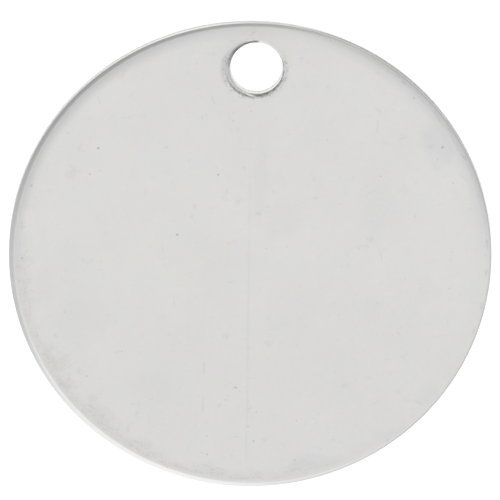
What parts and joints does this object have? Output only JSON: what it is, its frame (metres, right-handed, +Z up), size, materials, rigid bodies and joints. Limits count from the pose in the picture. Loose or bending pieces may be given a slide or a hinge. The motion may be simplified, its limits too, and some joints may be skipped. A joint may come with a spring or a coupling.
{
  "type": "disc pendant",
  "caption": "Flat round sheet-metal disc worn as a pendant or charm, with a round hanging hole near its rim and softly rounded edges.",
  "frame": {"origin": "centre of the disc on its underside, on the surface that it lies on", "axes": "+Z up through the front face, +Y from the disc's centre towards the hanging hole, +X to the right of the front face with the hole at the top"},
  "size_m": [0.025, 0.025, 0.0007],
  "materials": {
    "disc": "satin"
  },
  "bodies": {
    "root": {"disc": "disc"}
  },
  "joints": []
}
